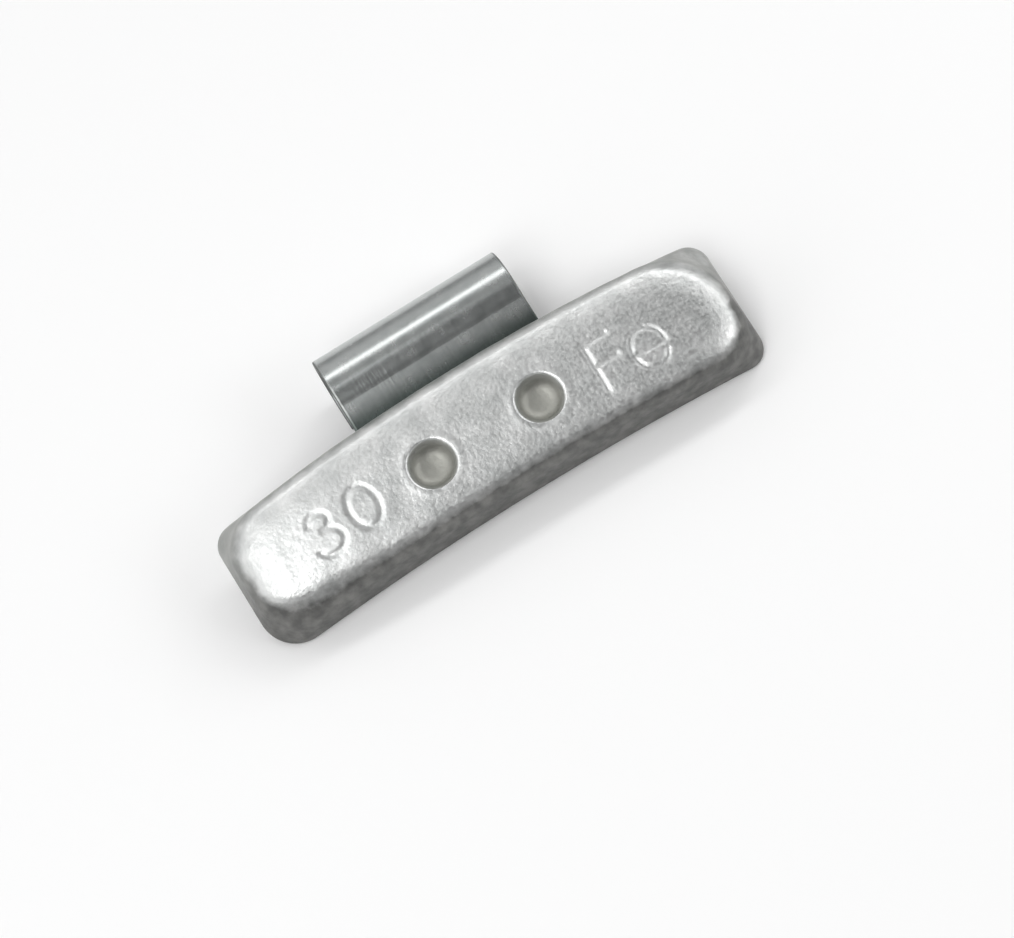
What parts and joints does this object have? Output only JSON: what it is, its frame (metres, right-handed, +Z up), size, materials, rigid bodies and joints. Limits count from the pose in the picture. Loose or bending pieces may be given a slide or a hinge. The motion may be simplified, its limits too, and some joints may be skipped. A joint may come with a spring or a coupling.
{
  "type": "wheel balance weight",
  "caption": "Clip-on wheel balance weight: an arched zinc-plated steel bar with punched pits, riveted to a bent spring-steel clip that hooks over the lip of a wheel rim.",
  "frame": {"origin": "bottom centre of the bounding box, with the weight lying on its back as it comes to rest on a table", "axes": "+X along the bar, +Y from the bar's lower edge towards the clip, +Z up; the face looks up and leans towards -Y"},
  "size_m": [0.0536, 0.0232, 0.0095],
  "materials": {
    "body_zinc": "satin zinc plating on tumbled, pressed steel",
    "clip_zinc": "bright zinc plating on smooth spring-steel strip"
  },
  "bodies": {
    "root": {"weight_body": "body_zinc", "rim_clip": "clip_zinc"}
  },
  "joints": []
}
